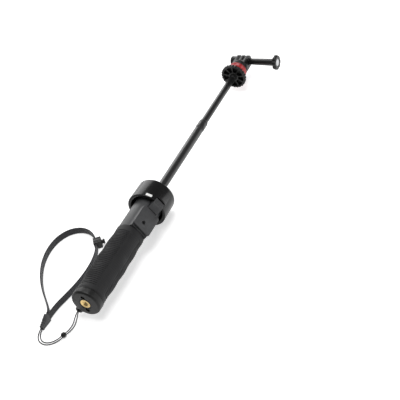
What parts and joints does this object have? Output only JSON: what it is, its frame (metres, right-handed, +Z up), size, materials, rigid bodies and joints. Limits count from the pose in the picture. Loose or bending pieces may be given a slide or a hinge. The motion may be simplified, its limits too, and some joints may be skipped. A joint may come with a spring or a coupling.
{
  "type": "selfie stick",
  "caption": "Telescopic selfie stick: rubber grip with bumper collar and release button, two sliding tubes, swivelling pronged camera mount with clamp screw, wrist strap.",
  "frame": {"origin": "mouth of the tripod socket, on the pole's axis, in the plane of the butt face", "axes": "+X along the pole towards the camera head, +Z up from the table that the stick lies on, the clamp screw's knob towards -Y"},
  "size_m": [0.47, 0.1455, 0.044],
  "materials": {
    "grip_rubber": "soft-touch moulded rubber with fine ribs",
    "black_plastic": "fine moulded grain",
    "gloss_black": "glossy moulded plastic",
    "grey_plastic": "charcoal moulded grain, satin",
    "index_white": "pale inlay",
    "black_tube": "black anodised, satin",
    "bare_aluminium": "turned",
    "steel": "machined",
    "black_steel": "blackened steel screws and washer",
    "brass": "machined",
    "red_ring": "red anodised, satin",
    "nylon": "low-friction moulding",
    "black_rubber": "plain",
    "cord_fabric": "braided cord",
    "webbing_fabric": "woven ribbon"
  },
  "bodies": {
    "handle": {"grip_core": "black_plastic", "grip_sleeve": "grip_rubber", "base_cap": "black_plastic", "tripod_insert": "brass", "cap_screws": "black_steel", "end_buffer": "black_rubber", "guide_tube": "bare_aluminium", "neck_housing": "grey_plastic", "cover_plate": "grey_plastic", "plate_screw": "black_steel", "bumper_collar": "gloss_black", "collar_mark": "index_white", "front_bush": "nylon", "wiper_seal": "black_rubber", "collar_screws": "black_steel", "button_spring": "steel", "lanyard_cord": "cord_fabric", "cord_bead": "black_plastic", "strap_connector": "grey_plastic", "wrist_webbing": "webbing_fabric", "slider_body": "black_plastic", "slider_spring": "steel"},
    "release": {"release_button": "grey_plastic", "brake_plate": "steel"},
    "mid_stage": {"mid_tube": "black_tube", "mid_bush": "nylon", "mid_ferrule": "black_tube"},
    "inner_stage": {"inner_tube": "black_tube", "inner_bush": "nylon", "tip_plug": "bare_aluminium", "head_stud": "steel"},
    "wheel": {"lock_wheel": "black_plastic", "wheel_nut": "brass"},
    "head": {"red_ring": "red_ring", "mount_body": "black_plastic", "mount_insert": "brass", "captive_nut": "steel", "thrust_washer": "black_steel"},
    "clamp": {"clamp_bolt": "steel", "thumb_knob": "black_plastic", "knob_insert": "steel"},
    "strap_button": {"slider_button": "black_plastic"}
  },
  "joints": [
    {"name": "mid_slide", "type": "slide", "parent": "handle", "child": "mid_stage", "axis": [1, 0, 0], "range_m": [-0.112, 0]},
    {"name": "inner_slide", "type": "slide", "parent": "mid_stage", "child": "inner_stage", "axis": [1, 0, 0], "range_m": [-0.088, 0.04]},
    {"name": "wheel_turn", "type": "hinge", "parent": "inner_stage", "child": "wheel", "pos_m": [0.389, 0, 0], "axis": [1, 0, 0], "range_deg": [0, 120]},
    {"name": "head_swivel", "type": "hinge", "parent": "inner_stage", "child": "head", "pos_m": [0.4, 0, 0], "axis": [1, 0, 0], "continuous": true},
    {"name": "clamp_turn", "type": "hinge", "parent": "head", "child": "clamp", "pos_m": [0.419, -0.03, 0], "axis": [0, -1, 0], "continuous": true},
    {"name": "button_press", "type": "slide", "parent": "handle", "child": "release", "axis": [0, 0.866, -0.5], "range_m": [0, 0.0018], "stiffness_N_per_m": 400, "springref_m": -0.004, "deforming": ["button_spring"]},
    {"name": "strap_button_press", "type": "slide", "parent": "handle", "child": "strap_button", "axis": [-0.5547, 0.8321, 0], "range_m": [0, 0.0015], "stiffness_N_per_m": 300, "springref_m": -0.003, "deforming": ["slider_spring"]}
  ]
}
